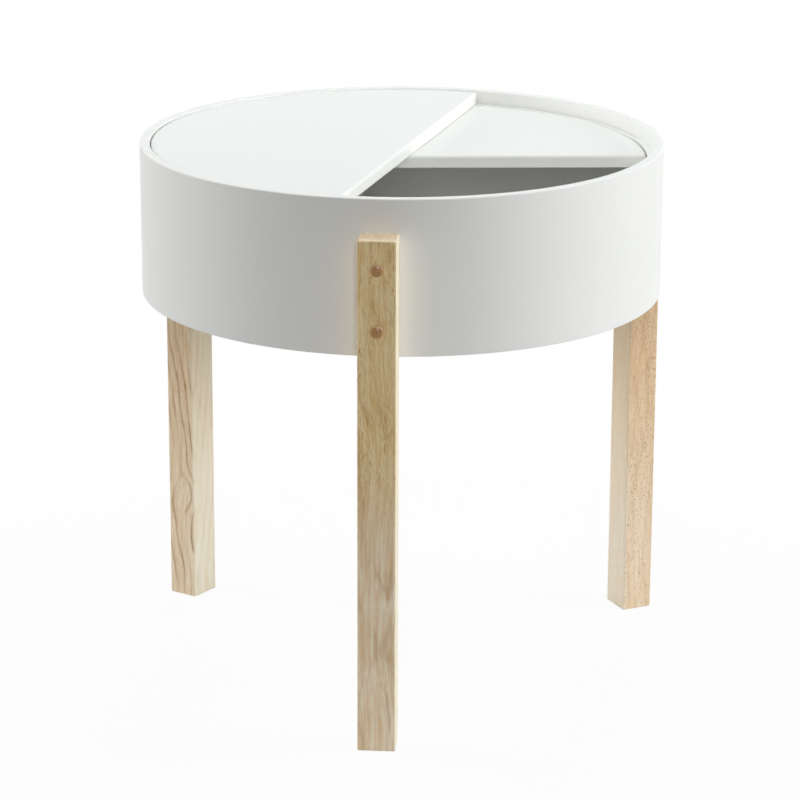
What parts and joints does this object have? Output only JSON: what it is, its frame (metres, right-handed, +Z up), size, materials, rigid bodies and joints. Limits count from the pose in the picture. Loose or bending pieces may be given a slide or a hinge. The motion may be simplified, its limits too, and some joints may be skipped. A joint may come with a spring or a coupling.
{
  "type": "end table",
  "caption": "Round drum-shaped end table on straight wooden legs bolted outside its wall, with half-moon lids that turn and lift off a storage compartment.",
  "frame": {"origin": "on the floor, under the middle of the table's bounding box; the drum's axis stands 15.1 mm behind it", "axes": "+Z up, -Y towards the front leg, +X to the right seen from the front"},
  "size_m": [0.4999, 0.5302, 0.515],
  "materials": {
    "white_lacquer": "board and bent plywood under satin white lacquer",
    "pale_wood": "pale straight-grained hardwood, clear matt lacquer",
    "plug_wood": "darker turned hardwood button, clear lacquer",
    "zinc_steel": "bright zinc plate",
    "painted_steel": "steel nuts painted white with the drum"
  },
  "bodies": {
    "stand": {"drum_hoop": "white_lacquer", "upper_ledge": "white_lacquer", "lower_ledge": "white_lacquer", "bottom_panel": "white_lacquer", "bottom_cleat_1": "pale_wood", "panel_screw_1": "zinc_steel", "bottom_cleat_2": "pale_wood", "panel_screw_2": "zinc_steel", "bottom_cleat_3": "pale_wood", "panel_screw_3": "zinc_steel", "bottom_cleat_4": "pale_wood", "panel_screw_4": "zinc_steel", "bottom_cleat_5": "pale_wood", "panel_screw_5": "zinc_steel", "bottom_cleat_6": "pale_wood", "panel_screw_6": "zinc_steel", "front_leg": "pale_wood", "front_upper_plug": "plug_wood", "front_upper_bolt": "zinc_steel", "front_upper_washer": "zinc_steel", "front_upper_nut": "painted_steel", "front_lower_plug": "plug_wood", "front_lower_bolt": "zinc_steel", "front_lower_washer": "zinc_steel", "front_lower_nut": "painted_steel", "right_leg": "pale_wood", "right_upper_plug": "plug_wood", "right_upper_bolt": "zinc_steel", "right_upper_washer": "zinc_steel", "right_upper_nut": "painted_steel", "right_lower_plug": "plug_wood", "right_lower_bolt": "zinc_steel", "right_lower_washer": "zinc_steel", "right_lower_nut": "painted_steel", "left_leg": "pale_wood", "left_upper_plug": "plug_wood", "left_upper_bolt": "zinc_steel", "left_upper_washer": "zinc_steel", "left_upper_nut": "painted_steel", "left_lower_plug": "plug_wood", "left_lower_bolt": "zinc_steel", "left_lower_washer": "zinc_steel", "left_lower_nut": "painted_steel"},
    "upper_lid": {"upper_lid": "white_lacquer"},
    "lower_lid": {"lower_lid": "white_lacquer"}
  },
  "joints": [
    {"name": "upper_lid_lift", "type": "slide", "parent": "stand", "child": "upper_lid", "axis": [0, 0, 1], "range_m": [0, 0.15]},
    {"name": "lower_lid_turn", "type": "hinge", "parent": "stand", "child": "lower_lid", "pos_m": [0, 0.0151, 0.4956], "axis": [0, 0, 1], "continuous": true}
  ]
}
